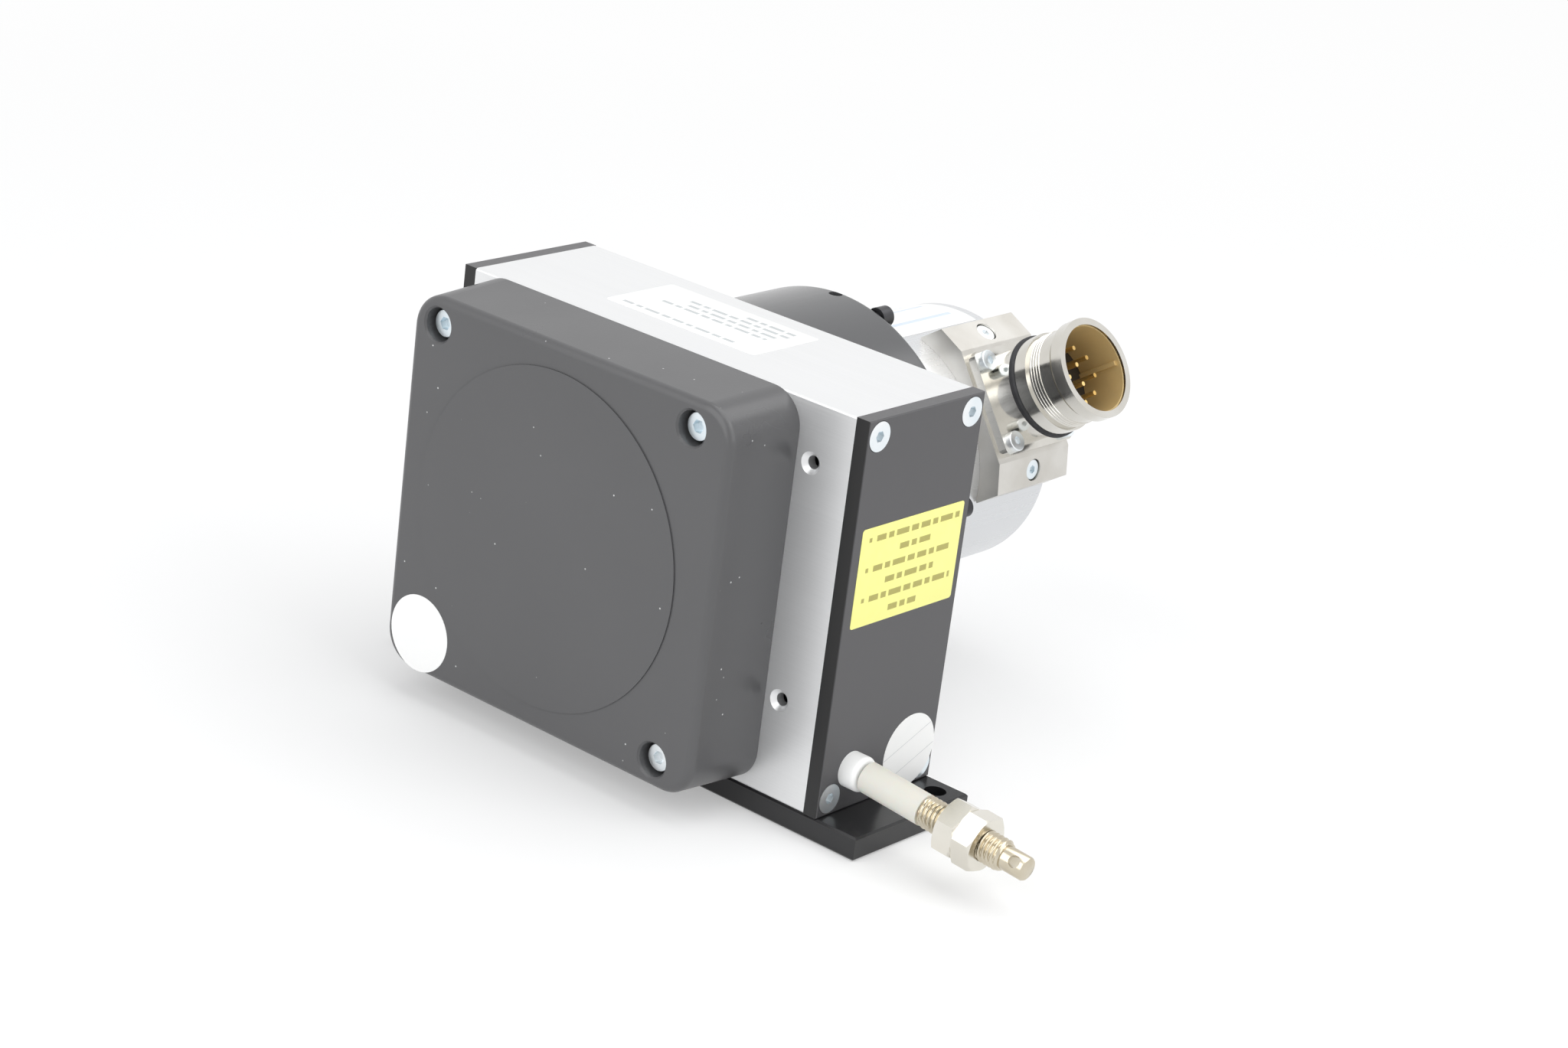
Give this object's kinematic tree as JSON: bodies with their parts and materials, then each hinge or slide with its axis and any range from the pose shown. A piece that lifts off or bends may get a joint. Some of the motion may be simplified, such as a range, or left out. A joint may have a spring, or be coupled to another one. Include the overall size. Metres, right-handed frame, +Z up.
{
  "type": "draw wire encoder",
  "caption": "Draw wire encoder: extruded housing with a spring cover, a drum, a rotary encoder with a round connector, and a threaded stud on the wire.",
  "frame": {"origin": "middle of the base plate's underside", "axes": "+X the way the wire leaves, -Y the front with the spring cover, +Z up"},
  "size_m": [0.199, 0.1573, 0.1062],
  "materials": {
    "housing_aluminium": "satin anodised, extruded",
    "black_anodised": "black anodised, satin",
    "cover_plastic": "matt moulded plastic",
    "zinc_screw": "bright zinc plated",
    "black_screw": "black oxide",
    "encoder_silver": "satin turned aluminium",
    "nickel": "warm nickel plating, satin",
    "white_plastic": "matt white plastic",
    "cream_sleeve": "matt buffer sleeve",
    "wire_steel": "stranded stainless steel",
    "bearing_steel": "ground steel",
    "spring_steel": "blued spring steel",
    "drum_plastic": "moulded drum",
    "black_rubber": "matt rubber",
    "contact_gold": "gold plated",
    "insert_plastic": "matt black plastic",
    "board_green": "circuit board",
    "disc_glass": "clear glass"
  },
  "bodies": {
    "housing": {"housing_profile": "housing_aluminium", "end_plate_right": "black_anodised", "end_plate_left": "black_anodised", "end_plate_screws_right": "zinc_screw", "end_plate_screws_left": "zinc_screw", "base_plate": "black_anodised", "base_plate_screws": "zinc_screw", "spring_cover": "cover_plastic", "spring_cover_screws": "zinc_screw", "spiral_spring": "spring_steel", "front_bearing_plate": "encoder_silver", "bearing_plate_screws": "zinc_screw", "front_bearing": "bearing_steel", "rear_bearing_housing": "encoder_silver", "rear_bearing_screws": "zinc_screw", "rear_bearing": "bearing_steel", "wire_nozzle": "white_plastic", "encoder_adapter": "black_anodised", "adapter_screws": "black_screw", "adapter_grub_screw": "black_screw", "encoder_flange": "encoder_silver", "encoder_cap": "encoder_silver", "encoder_bearings": "bearing_steel", "encoder_board": "board_green", "board_pillars": "zinc_screw", "scan_head": "insert_plastic", "connector_block": "nickel", "connector_block_screws": "zinc_screw", "connector_shell": "nickel", "connector_flange_screws": "zinc_screw", "connector_o_ring": "black_rubber", "contact_insert": "insert_plastic", "contact_pins": "contact_gold"},
    "drum": {"wire_drum": "drum_plastic", "wound_wire": "wire_steel", "drum_shaft": "bearing_steel", "spring_arbor": "encoder_silver", "shaft_coupling": "encoder_silver", "encoder_shaft": "bearing_steel", "disc_hub": "encoder_silver", "code_disc": "disc_glass"},
    "wire_end": {"end_sleeve": "cream_sleeve", "wire_stud": "nickel", "lock_nut_inner": "nickel", "lock_nut_outer": "nickel", "draw_wire": "wire_steel"}
  },
  "joints": [
    {"name": "drum_spin", "type": "hinge", "parent": "housing", "child": "drum", "pos_m": [-0.009, 0, 0.0563], "axis": [0, -1, 0], "range_deg": [0, 5760], "stiffness_Nm_per_rad": 0.0016, "springref_deg": -11459.16},
    {"name": "wire_pull", "type": "slide", "parent": "housing", "child": "wire_end", "axis": [1, 0, 0], "range_m": [0, 4]}
  ],
  "couplings": [
    {"joint": "wire_pull", "follows": "drum_spin", "m_per_rad": 0.039789}
  ]
}
